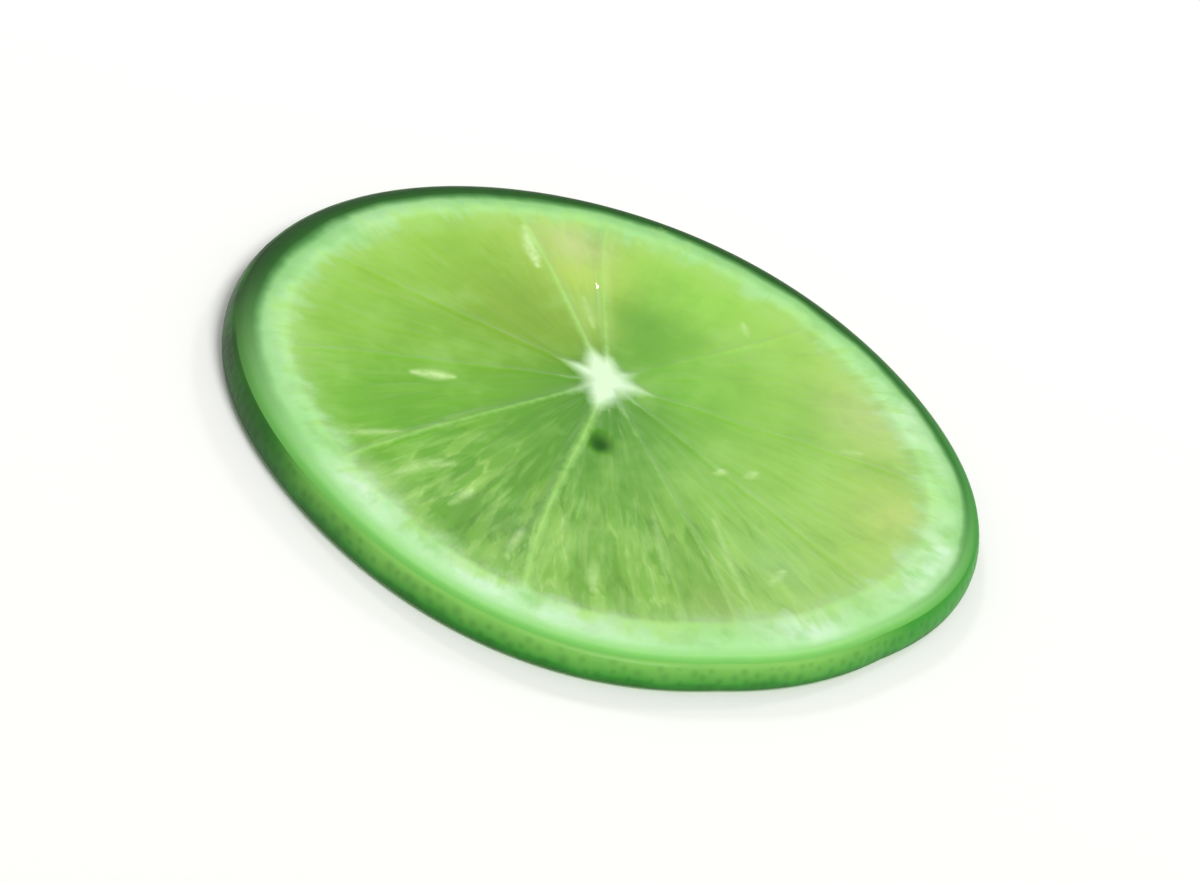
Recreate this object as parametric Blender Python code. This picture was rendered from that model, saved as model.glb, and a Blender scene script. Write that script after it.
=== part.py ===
"""A round slice of lime, cut straight across the fruit and lying on its lower cut face.

Metres, +Z up. The origin is the middle of the slice's outline, on the surface that it rests on.
Peel, pith, membranes, pulp and core grew together, so the slice is one solid.
"""

import math

import bmesh
import bpy
from mathutils import Vector

# Overall sizes. The width is across the lower cut edge, before the waves below are added.
SLICE_WIDTH = 0.052
SLICE_THICKNESS = 0.0023

# The peel's wall. The lower cut was nearer the fruit's middle, so the wall leans in on its way up. It
# swells between the two cuts, and the knife left its edges a little round.
PEEL_LEAN = 0.0004
PEEL_SWELL = 0.0002
PEEL_EDGE_ROUND = 0.00015

# The outline is a little out of round: (lobes round it, height of a lobe, direction of one lobe).
OUTLINE_WAVES = (
    (2, 0.00015, math.radians(-10)),
    (3, 0.00028, math.radians(20)),
    (4, 0.00035, math.radians(1)),
    (5, 0.0001, math.radians(-8)),
)

# Peel and pith together, from the outside in to the pulp.
RIND_WIDTH = 0.0036

# The core, where the membranes meet: it sits off the middle of the slice.
CORE_POSITION = Vector((-0.0008, 0.0035))
CORE_RADIUS = 0.0017

# One segment of pulp after another, counterclockwise, as angles at the core. They share out a full turn.
FIRST_MEMBRANE = math.radians(101)
SEGMENT_SHARES = (22, 49, 34, 29, 36, 31, 29, 34, 48, 48)
MEMBRANE_WIDTH = 0.0005

# The pulp lies a little below the membranes and the pith, which stand up once the juice has run off.
PULP_DEPTH = 0.0002
SEGMENT_TIP_WIDTH = 0.0004
SEGMENT_CORNER = 0.0022
CORNER_SQUARENESS = 3.0

# An open hollow in the pulp, left by sacs that came away with the knife. It lies beside the membrane
# with this number, counted from the first.
HOLLOW_MEMBRANE = 5
HOLLOW_REACH = 0.0076
HOLLOW_WIDTH = 0.0013
HOLLOW_LENGTH = 0.0016
HOLLOW_DEPTH = 0.0010
HOLLOW_TAPER = 0.6
HOLLOW_CLEARANCE = 0.0002

# How finely the shape is drawn, and how far a cutter runs past the face that it cuts.
OUTLINE_STEPS = 120
WALL_STEPS = 6
EDGE_STEPS = 3
SEGMENT_END_STEPS = 12
SEGMENT_SIDE_STEPS = 2
SEGMENT_TIP_STEPS = 3
HOLLOW_STEPS = 14
CUTTER_OVERRUN = 0.001
FINEST_STEP = 0.000001

SMOOTH_ANGLE = math.radians(40)


def direction(angle):
    return Vector((math.cos(angle), math.sin(angle)))


def turn(steps):
    """Evenly spaced angles round a full turn."""
    return [2 * math.pi * step / steps for step in range(steps)]


def outline_radius(angle):
    """Distance from the middle to the outside of the peel, at the lower cut edge."""
    waves = sum(height * math.cos(lobes * (angle - start)) for lobes, height, start in OUTLINE_WAVES)
    return SLICE_WIDTH / 2 + waves


def outline_middle():
    """The middle of the box round the outline, which becomes the origin."""
    points = [direction(angle) * outline_radius(angle) for angle in turn(OUTLINE_STEPS)]
    xs = [point.x for point in points]
    ys = [point.y for point in points]
    return Vector((min(xs) + max(xs), min(ys) + max(ys))) / 2


def core_to_pulp_edge(angle, lean):
    """Distance from the core to the outer edge of the pulp, found by halving the step.

    The lean is how far in the peel is at this cut, compared with the lower one.
    """
    distance = 0.0
    step = SLICE_WIDTH / 2
    while step > FINEST_STEP:
        point = CORE_POSITION + direction(angle) * (distance + step)
        if point.length < outline_radius(math.atan2(point.y, point.x)) - lean - RIND_WIDTH:
            distance += step
        step /= 2
    return distance


def membrane_angles():
    """The direction of each membrane from the core, with the first one again at the end."""
    angles = [FIRST_MEMBRANE]
    for share in SEGMENT_SHARES:
        angles.append(angles[-1] + 2 * math.pi * share / sum(SEGMENT_SHARES))
    return angles


def segment_outline(start, end, lean):
    """The edge of one segment of pulp: round outer end, straight sides, narrow inner tip."""
    middle = (start + end) / 2
    half_span = (end - start) / 2
    tip = max(CORE_RADIUS, (MEMBRANE_WIDTH + SEGMENT_TIP_WIDTH) / (2 * math.sin(half_span)))

    def point_at(share, distance):
        half_width = half_span - math.asin(MEMBRANE_WIDTH / 2 / distance)
        return CORE_POSITION + direction(middle + share * half_width) * distance

    def outer_distance(share):
        corner = 1 - (1 - abs(share) ** CORNER_SQUARENESS) ** (1 / CORNER_SQUARENESS)
        return core_to_pulp_edge(middle + share * half_span, lean) - SEGMENT_CORNER * corner

    points = []
    for step in range(SEGMENT_END_STEPS + 1):
        share = math.sin(math.pi / 2 * (2 * step / SEGMENT_END_STEPS - 1))
        points.append(point_at(share, outer_distance(share)))
    for step in range(1, SEGMENT_SIDE_STEPS):
        points.append(point_at(1, outer_distance(1) + (tip - outer_distance(1)) * step / SEGMENT_SIDE_STEPS))
    for step in range(SEGMENT_TIP_STEPS + 1):
        points.append(point_at(1 - 2 * step / SEGMENT_TIP_STEPS, tip))
    for step in range(1, SEGMENT_SIDE_STEPS):
        points.append(point_at(-1, tip + (outer_distance(-1) - tip) * step / SEGMENT_SIDE_STEPS))
    return points


def add_prism(mesh, outline, bottom, height):
    """A closed block with this outline, standing up from the height called bottom."""
    corners = [mesh.verts.new((point.x, point.y, bottom)) for point in outline]
    floor = mesh.faces.new(corners)
    grown = bmesh.ops.extrude_face_region(mesh, geom=[floor])
    raised = [item for item in grown["geom"] if isinstance(item, bmesh.types.BMVert)]
    bmesh.ops.translate(mesh, verts=raised, vec=(0, 0, height))


def make_slice_mesh():
    """The whole slice before its pulp is sunk: a thin barrel with rounded cut edges."""
    mesh = bmesh.new()
    bmesh.ops.create_circle(mesh, segments=OUTLINE_STEPS, radius=SLICE_WIDTH / 2)
    ring = mesh.verts[:]
    rims = mesh.edges[:]
    top_edges = rims
    for step in range(WALL_STEPS + 1):
        share = step / WALL_STEPS
        swell = PEEL_SWELL * 4 * share * (1 - share) - PEEL_LEAN * share
        for vert in ring:
            angle = math.atan2(vert.co.y, vert.co.x)
            place = direction(angle) * (outline_radius(angle) + swell)
            vert.co = (place.x, place.y, SLICE_THICKNESS * share)
        if step < WALL_STEPS:
            grown = bmesh.ops.extrude_edge_only(mesh, edges=top_edges)["geom"]
            ring = [item for item in grown if isinstance(item, bmesh.types.BMVert)]
            top_edges = [item for item in grown if isinstance(item, bmesh.types.BMEdge)]
    rims = rims + top_edges
    bmesh.ops.holes_fill(mesh, edges=rims, sides=0)
    bmesh.ops.recalc_face_normals(mesh, faces=mesh.faces)
    bmesh.ops.bevel(mesh, geom=rims, offset=PEEL_EDGE_ROUND, segments=EDGE_STEPS, affect="EDGES", profile=0.5)
    return mesh


def make_pulp_cutter_mesh():
    """One block for each segment on each face, which sinks the pulp between its membranes."""
    mesh = bmesh.new()
    angles = membrane_angles()
    for start, end in zip(angles, angles[1:]):
        upper = segment_outline(start, end, PEEL_LEAN)
        lower = segment_outline(start, end, 0.0)
        add_prism(mesh, upper, SLICE_THICKNESS - PULP_DEPTH, PULP_DEPTH + CUTTER_OVERRUN)
        add_prism(mesh, lower, -CUTTER_OVERRUN, PULP_DEPTH + CUTTER_OVERRUN)
    bmesh.ops.recalc_face_normals(mesh, faces=mesh.faces)
    return mesh


def make_hollow_cutter_mesh():
    """A tapered oval plug, beside its membrane and narrowing downward."""
    angle = membrane_angles()[HOLLOW_MEMBRANE]
    along = direction(angle)
    aside = direction(angle + math.pi / 2)
    sideways = MEMBRANE_WIDTH / 2 + HOLLOW_CLEARANCE + HOLLOW_WIDTH / 2
    middle = CORE_POSITION + along * HOLLOW_REACH + aside * sideways
    mesh = bmesh.new()
    top = SLICE_THICKNESS + CUTTER_OVERRUN
    floor = SLICE_THICKNESS - PULP_DEPTH - HOLLOW_DEPTH
    outline = []
    for around in turn(HOLLOW_STEPS):
        lengthwise = along * HOLLOW_LENGTH / 2 * math.cos(around)
        outline.append(lengthwise + aside * HOLLOW_WIDTH / 2 * math.sin(around))
    add_prism(mesh, outline, floor, top - floor)
    for vert in mesh.verts:
        if vert.co.z < (floor + top) / 2:
            vert.co.x *= HOLLOW_TAPER
            vert.co.y *= HOLLOW_TAPER
        vert.co.x += middle.x
        vert.co.y += middle.y
    bmesh.ops.recalc_face_normals(mesh, faces=mesh.faces)
    return mesh


def add_object(name, mesh):
    data = bpy.data.meshes.new(name)
    mesh.to_mesh(data)
    mesh.free()
    thing = bpy.data.objects.new(name, data)
    bpy.context.scene.collection.objects.link(thing)
    return thing


def cut_away(thing, cutter):
    """Take the cutter's shape out of the thing, and keep the cutter out of sight."""
    cutter.parent = thing
    cutter.hide_render = True
    cutter.display_type = "WIRE"
    cut = thing.modifiers.new(cutter.name, "BOOLEAN")
    cut.operation = "DIFFERENCE"
    cut.solver = "EXACT"
    cut.object = cutter


def make_lime_material():
    """Wet lime flesh: mid green, glossy where juice covers it."""
    material = bpy.data.materials.new("lime_flesh")
    material.use_nodes = True
    shader = material.node_tree.nodes["Principled BSDF"]
    shader.inputs["Base Color"].default_value = (0.27, 0.50, 0.10, 1)
    shader.inputs["Roughness"].default_value = 0.35
    shader.inputs["Metallic"].default_value = 0.0
    return material


for old in list(bpy.data.objects):
    bpy.data.objects.remove(old, do_unlink=True)

lime_slice = add_object("lime_slice", make_slice_mesh())
middle = outline_middle()
lime_slice.location = (-middle.x, -middle.y, 0)
lime_slice.data.materials.append(make_lime_material())
lime_slice.data.shade_smooth()
lime_slice.data.set_sharp_from_angle(angle=SMOOTH_ANGLE)
cut_away(lime_slice, add_object("pulp_cutter", make_pulp_cutter_mesh()))
cut_away(lime_slice, add_object("hollow_cutter", make_hollow_cutter_mesh()))
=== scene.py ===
import math

import bpy
import numpy as np
from mathutils import Matrix, Vector


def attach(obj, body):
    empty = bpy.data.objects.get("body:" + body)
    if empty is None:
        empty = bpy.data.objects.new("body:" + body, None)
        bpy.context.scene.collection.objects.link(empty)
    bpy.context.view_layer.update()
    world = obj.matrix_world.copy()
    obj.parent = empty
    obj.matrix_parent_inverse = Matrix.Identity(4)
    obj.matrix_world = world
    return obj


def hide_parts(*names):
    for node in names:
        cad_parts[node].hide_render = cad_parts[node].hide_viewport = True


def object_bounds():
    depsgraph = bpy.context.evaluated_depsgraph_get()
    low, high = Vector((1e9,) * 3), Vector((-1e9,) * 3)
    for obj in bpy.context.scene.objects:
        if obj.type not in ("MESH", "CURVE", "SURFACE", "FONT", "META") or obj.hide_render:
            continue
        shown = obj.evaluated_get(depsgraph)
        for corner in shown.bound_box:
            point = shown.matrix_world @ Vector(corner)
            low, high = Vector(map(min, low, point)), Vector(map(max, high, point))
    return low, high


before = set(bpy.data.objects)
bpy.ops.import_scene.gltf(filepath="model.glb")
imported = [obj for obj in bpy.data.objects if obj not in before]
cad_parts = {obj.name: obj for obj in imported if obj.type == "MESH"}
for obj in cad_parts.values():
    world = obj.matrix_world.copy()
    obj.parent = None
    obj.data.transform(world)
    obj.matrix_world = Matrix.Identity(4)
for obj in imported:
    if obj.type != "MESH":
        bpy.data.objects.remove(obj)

# A round slice of lime, cut straight across the fruit and laid on its lower cut face, still wet with
# its own juice. It grew as one piece, so it is one closed mesh. The sections take its tissues in
# turn, from the outline that the knife left, through skin, pith, membranes and juice sacs, to the
# peel's outside. Sizes are in millimetres up to the point where the mesh is made.
MM = 0.001
cad_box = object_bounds()


# --- The cut -------------------------------------------------------------------------------------
# Two passes of a knife through the whole fruit left two flat faces and a low wall of peel between
# them. The outlines and the thickness come from the frame. Places on a face are counted from the
# core, as a direction and a distance outwards, because everything in the fruit grew out from there.
cad_points = np.array([vert.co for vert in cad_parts["lime_slice"].data.vertices]) / MM
LOWER_CUT = cad_points[:, 2].min()
UPPER_CUT = cad_points[:, 2].max()
THICKNESS = UPPER_CUT - LOWER_CUT
SAME_LEVEL = 0.01
RIM_ONLY = 0.95
FARTHEST = 60.0
HALVINGS = 30

CORE = np.array([-1.02, 3.81])
FIRST_MEMBRANE = 101
SEGMENT_DEGREES = (22, 49, 34, 29, 36, 31, 29, 34, 48, 48)
SEGMENTS = len(SEGMENT_DEGREES)
membranes = np.radians(FIRST_MEMBRANE + np.concatenate([[0], np.cumsum(SEGMENT_DEGREES)]))

# The mesh is rings round the core. Towards the core the number of columns in a ring halves, and
# halves again, and a membrane always lies along a column, so that its edges stay clean.
FINEST_COLUMNS = 1280
COLUMN_UNITS = 160
unit_bounds = np.round((membranes - membranes[0]) / (2 * math.pi) * COLUMN_UNITS)

# A membrane bows on its way out, by this many degrees at half way.
MEMBRANE_BOWS = (2.5, -2.0, 1.0, -1.5, -2.0, -3.0, 1.5, -1.0, 1.0, -1.5)
bows = np.radians(MEMBRANE_BOWS + MEMBRANE_BOWS[:1])


def outline_at(height):
    """The frame's outermost distance from its middle at this height, as a function of direction."""
    level = cad_points[np.abs(cad_points[:, 2] - height) < SAME_LEVEL]
    directions = np.arctan2(level[:, 1], level[:, 0])
    distances = np.hypot(level[:, 0], level[:, 1])
    rim = distances > RIM_ONLY * distances.max()
    order = np.argsort(directions[rim])
    known_directions = directions[rim][order]
    known_distances = distances[rim][order]
    return lambda direction: np.interp(direction, known_directions, known_distances, period=2 * math.pi)


def reach(direction, outline):
    """Distance from the core to an outline, in these directions from the core."""
    near = np.zeros_like(direction)
    far = np.full_like(direction, FARTHEST)
    for _ in range(HALVINGS):
        halfway = (near + far) / 2
        x = CORE[0] + halfway * np.cos(direction)
        y = CORE[1] + halfway * np.sin(direction)
        inside = np.hypot(x, y) < outline(np.arctan2(y, x))
        near = np.where(inside, halfway, near)
        far = np.where(inside, far, halfway)
    return near


def column_directions(columns, share_out):
    """Each column's direction from the core and its place among the units, in a ring this far out."""
    bowed = membranes + bows * math.sin(math.pi * share_out)
    units = np.arange(columns) * COLUMN_UNITS / columns
    return np.interp(units, unit_bounds, bowed), units


def smooth_step(value, low, high):
    share = np.clip((value - low) / (high - low), 0, 1)
    return share * share * (3 - 2 * share)


lower_outline = outline_at(LOWER_CUT)
middle_outline = outline_at((LOWER_CUT + UPPER_CUT) / 2)
upper_outline = outline_at(UPPER_CUT)


# --- Skin and pith, where the knife went through them --------------------------------------------
# The rind is green skin (flavedo) and inside that a spongy pale pith (albedo), soft and level where
# it was cut. The skin fades into the pith. On the near side, which faces the light, the skin ring is
# thinner and a lighter green, and on the far side it is darker: partly the sun side of the fruit,
# partly painted light and painted shade. The pith is widest on the near side too, and its driest
# patches are white.


def linear(hex_colour):
    """An sRGB hex colour as the linear values that a shader works in."""
    parts = [int(hex_colour[start:start + 2], 16) / 255 for start in (1, 3, 5)]
    lit = [part / 12.92 if part <= 0.04045 else ((part + 0.055) / 1.055) ** 2.4 for part in parts]
    return tuple(lit) + (1.0,)


SKIN_WIDTH = 1.6
RIND_WIDTH = 3.4
RIND_UNEVEN = 0.3
LIT_SUNNY_SIDE = math.radians(-82)
# Skin ring colours in from the cut edge: first the far side's, darkened with painted shade, then the near
# side's, lightened with painted light.
SHADED_SKIN = (
    (0.0, "#0C3604"), (1.0, "#B4E89C"), (0.19, "#1D5A12"), (0.26, "#4E8E42"), (0.34, "#8CC87A"),
    (0.55, "#A6DE8E"),
)
LIT_SUNNY_SKIN = (
    (0.0, "#74C056"), (1.0, "#A4D884"), (0.07, "#84CA68"), (0.16, "#9CDA84"), (0.40, "#AEE69A"),
    (0.70, "#A6DE8C"),
)
SKIN_RAMP_REACH = 4.2
DRY_PITH = (
    (-95, 22, 0.75), (-124, 9, 0.9), (-43, 9, 0.9), (-8, 12, 0.9), (32, 12, 0.6), (150, 20, 0.35),
    (195, 25, 0.25),
)
# Towards the near right, which faces the light, the skin is painted a bright green: painted light.
LIT_GREEN_SIDE = math.radians(-50)
LIT_SKIN_COLOUR = linear("#3E9A36")
DRY_PITH_COLOUR = linear("#DDF6DC")
SOAKED_PITH_COLOUR = linear("#88C468")
SOAKED_PATTERN_SHIFT = 90 * MM
SPONGE_SCALE = 1.1 / MM
PATCH_SCALE = 0.25 / MM
SOAKED_SCALE = 0.45 / MM


def rind_width(direction):
    return RIND_WIDTH + RIND_UNEVEN * np.cos(direction - LIT_SUNNY_SIDE)


def dry_pith_field(x, y):
    """How dry the pith is at this place: 1 is white, 0 is soaked with juice."""
    direction = np.degrees(np.arctan2(y, x))
    dryness = np.zeros_like(x)
    for middle, spread, amount in DRY_PITH:
        away = (direction - middle + 180) % 360 - 180
        dryness = np.maximum(dryness, amount * np.exp(-(away / spread) ** 2))
    return dryness


def add_node(kind, inputs=(), out=0, stops=(), tree=None, **settings):
    """Add a shader node and give back one output. An input is a value or another node's output."""
    made = (tree or flesh_tree).nodes.new(kind)
    for name, value in settings.items():
        setattr(made, name, value)
    for number, (place, hex_colour) in enumerate(stops):
        elements = made.color_ramp.elements
        stop = elements[number] if number < 2 else elements.new(place)
        stop.position = place
        stop.color = linear(hex_colour)
    for socket, value in dict(inputs).items():
        if isinstance(value, bpy.types.NodeSocket):
            made.id_data.links.new(value, made.inputs[socket])
        else:
            made.inputs[socket].default_value = value
    return made.outputs[out]


wet_flesh = bpy.data.materials.new("wet_cut_lime")
wet_flesh.use_nodes = True
flesh_tree = wet_flesh.node_tree

# Sockets are numbered as the node shows them: a Map Range takes the value, its range, and the range
# that comes out; a Mix takes the share first, then numbers at 2 and 3 or colours at 6 and 7.
rind_depth = add_node("ShaderNodeAttribute", out="Fac", attribute_name="rind_depth")
past_rind = add_node("ShaderNodeAttribute", out="Fac", attribute_name="past_rind")
dry_pith = add_node("ShaderNodeAttribute", out="Fac", attribute_name="dry_pith")
lit_sunny_side = add_node("ShaderNodeAttribute", out="Fac", attribute_name="lit_sunny_side")
lit_green_side = add_node("ShaderNodeAttribute", out="Fac", attribute_name="lit_green_side")
place = add_node("ShaderNodeTexCoord", out="Object")

sponge = add_node(
    "ShaderNodeTexNoise", {"Vector": place, "Scale": SPONGE_SCALE, "Detail": 3.0, "Roughness": 0.6}
)
patches = add_node("ShaderNodeTexNoise", {"Vector": place, "Scale": PATCH_SCALE, "Detail": 3.0})
wander = add_node("ShaderNodeMath", {0: patches, 1: 1.0, 2: -0.5}, operation="MULTIPLY_ADD")
wander_share = add_node("ShaderNodeMapRange", {0: rind_depth, 1: 0.2, 2: 1.6, 3: 0.0, 4: 1.0})
wander = add_node("ShaderNodeMath", {0: wander, 1: wander_share}, operation="MULTIPLY")
skin_depth = add_node("ShaderNodeMath", {0: rind_depth, 1: wander}, operation="ADD")
ramp_place = add_node("ShaderNodeMapRange", {0: skin_depth, 1: 0.0, 2: SKIN_RAMP_REACH})
# The skin ring's colour: painted shade on the far side and painted light on the near side, mixed by side.
shaded_skin = add_node("ShaderNodeValToRGB", {0: ramp_place}, stops=SHADED_SKIN)
lit_sunny_skin = add_node("ShaderNodeValToRGB", {0: ramp_place}, stops=LIT_SUNNY_SKIN)
# Painted light: the skin's outer edge turns a bright green towards the near right.
lit_skin_share = add_node("ShaderNodeMapRange", {0: skin_depth, 1: 1.4, 2: 0.4, 3: 0.0, 4: 0.75})
lit_skin_share = add_node("ShaderNodeMath", {0: lit_skin_share, 1: lit_green_side}, operation="MULTIPLY")
shaded_skin = add_node(
    "ShaderNodeMix", {0: lit_skin_share, 6: shaded_skin, 7: LIT_SKIN_COLOUR}, 2, data_type="RGBA"
)
rind_colour = add_node("ShaderNodeMix", {0: lit_sunny_side, 6: shaded_skin, 7: lit_sunny_skin}, 2, data_type="RGBA")
in_pith = add_node("ShaderNodeMapRange", {0: skin_depth, 1: 0.9, 2: 2.2, 3: 0.0, 4: 0.9})
soaked_place = add_node("ShaderNodeMapping", {0: place, 1: (SOAKED_PATTERN_SHIFT, 0, 0)})
soaked = add_node("ShaderNodeTexNoise", {"Vector": soaked_place, "Scale": SOAKED_SCALE, "Detail": 3.0})
soaked = add_node("ShaderNodeMapRange", {0: soaked, 1: 0.48, 2: 0.66, 3: 0.0, 4: 0.5})
soaked = add_node("ShaderNodeMath", {0: soaked, 1: in_pith}, operation="MULTIPLY")
rind_colour = add_node(
    "ShaderNodeMix", {0: soaked, 6: rind_colour, 7: SOAKED_PITH_COLOUR}, 2, data_type="RGBA"
)
dryness = add_node("ShaderNodeMapRange", {0: patches, 1: 0.30, 2: 0.55})
dryness = add_node("ShaderNodeMath", {0: dryness, 1: dry_pith}, operation="MULTIPLY")
dryness = add_node("ShaderNodeMath", {0: dryness, 1: in_pith}, operation="MULTIPLY")
rind_colour = add_node("ShaderNodeMix", {0: dryness, 6: rind_colour, 7: DRY_PITH_COLOUR}, 2, data_type="RGBA")


# --- Membranes and core --------------------------------------------------------------------------
# Thin pale walls part the segments. Some stand up and show as fine lines, others lie under the juice
# and can hardly be seen. At the core they run together into a spongy white star, with long arms along
# a few of them.
MEMBRANE_HALF_WIDTHS = np.array([-0.12, 0.02, -0.34, -0.36, -0.08, 0.09, -0.20, -0.34, -0.40, -0.44])
FLARE_AT_PITH = 0.15
PITH_FLARE_LENGTH = 0.8
STAR_RADIUS = 1.40
ARM_HALF_WIDTH = 0.95
ARM_LENGTH = 2.0
ARM_STRENGTHS = np.array([0.95, 1.15, 1.10, 0.25, 0.50, 1.20, 0.30, 0.40, 1.10, 0.70])
SEGMENT_CORNER = 0.6
MEET_SMOOTHLY = 0.3
MEMBRANE_COLOUR = linear("#AEE07E")
STAR_COLOUR = linear("#DCF6D0")
STAR_FADE = (2.4, 4.6)


def smooth_min(first, second, blend):
    """The lower of two distances, with the corner between them rounded off."""
    share = np.clip(0.5 + 0.5 * (second - first) / blend, 0, 1)
    return second * (1 - share) + first * share - blend * share * (1 - share)


def pulp_depth_field(segment, share_across, from_core, past_rind):
    """Distance into the pulp from its nearest membrane, pith or core; negative in those."""
    span = membranes[segment + 1] - membranes[segment]
    near_pith = FLARE_AT_PITH * np.exp(-np.maximum(past_rind, 0) / PITH_FLARE_LENGTH)
    sides = []
    for turn, arm in ((share_across * span, segment), ((1 - share_across) * span, (segment + 1) % SEGMENTS)):
        strength = ARM_STRENGTHS[arm]
        arm_left = np.clip(1 - (from_core - STAR_RADIUS) / (ARM_LENGTH * strength), 0, 1)
        half_width = MEMBRANE_HALF_WIDTHS[arm] + near_pith + ARM_HALF_WIDTH * strength * arm_left
        sides.append(from_core * np.sin(np.minimum(turn, math.pi / 2)) - half_width)
    between = smooth_min(sides[0], sides[1], MEET_SMOOTHLY)
    ends = smooth_min(from_core - STAR_RADIUS, past_rind, MEET_SMOOTHLY)
    return smooth_min(between, ends, SEGMENT_CORNER)


into_pulp = add_node("ShaderNodeAttribute", out="Fac", attribute_name="into_pulp")
from_core = add_node("ShaderNodeAttribute", out="Fac", attribute_name="from_core")
near_star = add_node("ShaderNodeMapRange", {0: from_core, 1: STAR_FADE[1], 2: STAR_FADE[0]})
wall_colour = add_node(
    "ShaderNodeMix", {0: near_star, 6: MEMBRANE_COLOUR, 7: STAR_COLOUR}, 2, data_type="RGBA"
)


# --- Juice sacs ----------------------------------------------------------------------------------
# Each segment is packed with slim juice sacs that point at the core and widen towards the peel, clear
# yellow-green in thin pale skins. The knife opened some and a few drained, which left them pale; a few
# more pale marks are painted glints, painted highlights on wet sacs. In the far segments the juice
# stands over the sacs and hides them; in the near ones they stand proud.
SAC_LENGTH = 6.2
SAC_WIDTH = 1.2
SAC_TAPER = 0.45
SAC_LEAN = math.radians(10)
SAC_RISE = 0.10
PULP_SUNK = 0.18
PULP_SLOPE = 0.9
OPENED_SHARE = 0.3
SAC_TRIES = 5000
SAC_SIZES = (0.75, 1.2)
SLIM_AT_CORE = 0.55
WIDER_FARTHER_OUT = 0.45
FULL_WIDTH_FROM = 14
OPENED_RISE = (-0.3, 0.1)
SHUT_RISE = (0.6, 1.0)
SAC_SHOULDER = 0.5
CLOSEST_SACS = 0.70
BARE_AT_CORE = 0.25
BARE_FADE = (0.35, 0.70)
JUICE_COVER = np.array([0.80, 0.94, 0.90, 0.82, 0.15, 0.15, 0.60, 0.86, 0.94, 0.94])

# The juice's colour at the core and at the pith, segment by segment.
JUICE_COLOURS = (
    ("#84B428", "#BCDA5E"), ("#80B01E", "#9ED248"), ("#70AE14", "#9ACF4A"), ("#68AC18", "#80C032"),
    ("#589C16", "#6CAE30"), ("#549A1A", "#7CB63E"), ("#78BA3C", "#A0CE64"), ("#7ABE38", "#AED468"),
    ("#78C230", "#AED664"), ("#68B01E", "#A4DC54"),
)
# Patches darker or paler than their segment: place, radius, colour and how strong.
PATCHES = (
    (-7.5, 8.6, 5.5, "#88B02C", 0.75), (-13.5, -9.0, 5.5, "#6CB61E", 0.60),
    (-5.0, 15.5, 3.0, "#BEDC5E", 0.80), (-6.5, 19.0, 2.4, "#CCD896", 0.75),
    (-3.0, 10.4, 1.8, "#B8DC66", 0.55), (0.4, 12.2, 3.0, "#62A628", 0.60),
    (20.6, 1.0, 3.0, "#C6D87C", 0.60), (16.8, 11.0, 3.6, "#C0D28E", 0.55),
    (2.8, 17.5, 3.2, "#9CDC4C", 0.55), (12.6, -18.4, 2.6, "#B2BE7C", 0.55),
    (1.6, -2.6, 4.0, "#529828", 0.65), (-3.6, -16.4, 2.8, "#689C50", 0.45),
    (-13.6, -18.0, 2.4, "#DCE6CC", 0.50), (10.6, -15.4, 2.4, "#86A84A", 0.40),
    (14.0, -9.4, 2.4, "#92C07C", 0.45), (-0.6, 2.4, 4.8, "#529420", 0.75),
)
# Sacs that drained where the knife caught them, and a few painted glints: both ends, half width and how pale.
DRAINED_SACS_AND_GLINTS = (
    (-10.3, 18.4, -8.4, 14.4, 0.50, 1.0), (-13.2, -3.4, -10.6, -2.2, 0.45, 0.9),
    (8.0, -1.9, 8.5, -1.1, 0.30, 0.7), (10.0, -1.0, 10.5, 0.1, 0.30, 0.8),
    (8.8, -7.0, 12.2, -14.0, 0.30, 0.35), (5.0, -9.0, 7.2, -15.6, 0.30, 0.30),
    (-3.2, 9.6, -4.6, 12.8, 0.32, 0.35), (-15.4, -12.6, -12.4, -10.4, 0.32, 0.45),
    (-10.6, -13.4, -8.2, -11.6, 0.30, 0.5), (6.4, 17.0, 7.0, 15.5, 0.30, 0.5),
    (15.5, 6.0, 17.0, 6.8, 0.30, 0.4), (-7.5, -16.0, -6.5, -13.5, 0.35, 0.6),
    (-3.0, -19.0, -2.6, -15.6, 0.35, 0.5), (3.0, -19.4, 2.4, -16.4, 0.35, 0.5),
    (-11.5, -15.0, -9.0, -11.6, 0.35, 0.5), (13.6, -11.5, 14.2, -9.6, 0.30, 0.6),
)


def drained_and_glint_field(x, y):
    """How pale the flesh is at each point, where sacs lost their juice and where glints are painted: 1 is the
    palest.
    """
    drained_and_glint = np.zeros_like(x)
    for start_x, start_y, end_x, end_y, half_width, amount in DRAINED_SACS_AND_GLINTS:
        run_x, run_y = end_x - start_x, end_y - start_y
        along = np.clip(((x - start_x) * run_x + (y - start_y) * run_y) / (run_x ** 2 + run_y ** 2), 0, 1)
        aside = np.hypot(x - start_x - along * run_x, y - start_y - along * run_y)
        width = half_width * (0.45 + 0.55 * np.sin(math.pi * along))
        drained_and_glint = np.maximum(drained_and_glint, amount * np.exp(-(aside / width) ** 2))
    return drained_and_glint


def blend_over_membranes(values, segment, across):
    """A value for each segment, taken at each point, that runs smoothly into the next segment's."""
    off_middle = across - 0.5
    beside = (segment + np.sign(off_middle).astype(int)) % SEGMENTS
    share = 0.5 * smooth_step(np.abs(off_middle), 0.1, 0.5)
    share = share.reshape(share.shape + (1,) * (values.ndim - 1))
    return values[segment] * (1 - share) + values[beside] * share


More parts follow.
